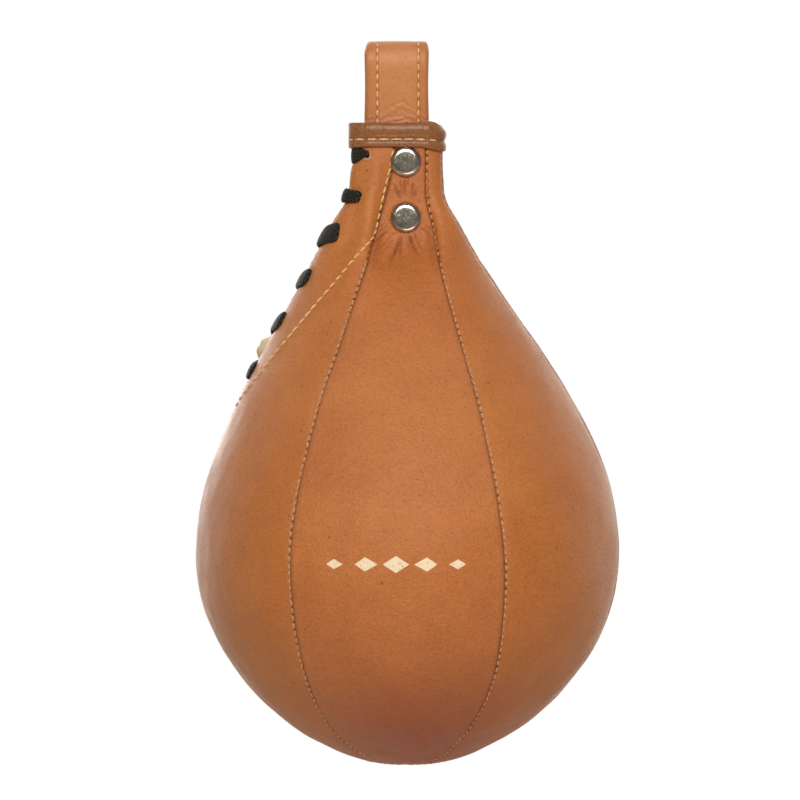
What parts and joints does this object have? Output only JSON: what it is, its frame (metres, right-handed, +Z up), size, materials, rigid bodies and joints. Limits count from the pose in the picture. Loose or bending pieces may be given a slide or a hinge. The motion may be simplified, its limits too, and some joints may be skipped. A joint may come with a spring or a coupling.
{
  "type": "speed bag",
  "caption": "Pear-shaped leather punching speed bag of sewn gores, laced down one side of its flattened neck, with a riveted strap loop that hangs from a swivel hook.",
  "frame": {"origin": "centre of the strap loop's inner bend; the bag hangs below it, its round body's axis 4.6 mm towards +X", "axes": "+Z up along the bag's length; -Y is the front with the rivet caps in view; +X runs across the strap, to the right in the front view, away from the lacing"},
  "size_m": [0.178, 0.178, 0.3049],
  "materials": {
    "gore_leather": "smooth, waxed, lightly scuffed",
    "binding_leather": "polished",
    "strap_leather": "smooth, waxed",
    "facing_leather": "matte",
    "webbing": "woven",
    "rivet_nickel": "nickel plated, scuffed",
    "tongue_suede": "brushed suede",
    "lace_cord": "waxed flat braid",
    "lining_cloth": "plain weave",
    "bladder_rubber": "matte",
    "valve_rubber": "matte"
  },
  "bodies": {
    "hanger": {"hanging_loop": "strap_leather", "loop_webbing": "webbing"},
    "bag": {"strap_tail_front": "strap_leather", "strap_tail_back": "strap_leather", "tail_webbing_front": "webbing", "tail_webbing_back": "webbing", "panel_front": "gore_leather", "panel_front_right": "gore_leather", "panel_back_right": "gore_leather", "panel_back": "gore_leather", "panel_back_left": "gore_leather", "panel_front_left": "gore_leather", "bottom_patch": "gore_leather", "neck_binding": "binding_leather", "upper_rivet_front": "rivet_nickel", "upper_rivet_back": "rivet_nickel", "lower_rivet_front": "rivet_nickel", "lower_rivet_back": "rivet_nickel", "lace_facing_front": "facing_leather", "lace_facing_back": "facing_leather", "tongue": "tongue_suede", "lace": "lace_cord", "lining": "lining_cloth", "bladder": "bladder_rubber", "bladder_valve": "valve_rubber"}
  },
  "joints": [
    {"name": "neck_flex", "type": "hinge", "parent": "hanger", "child": "bag", "pos_m": [0, 0, -0.02], "axis": [1, 0, 0], "range_deg": [-60, 60]}
  ]
}
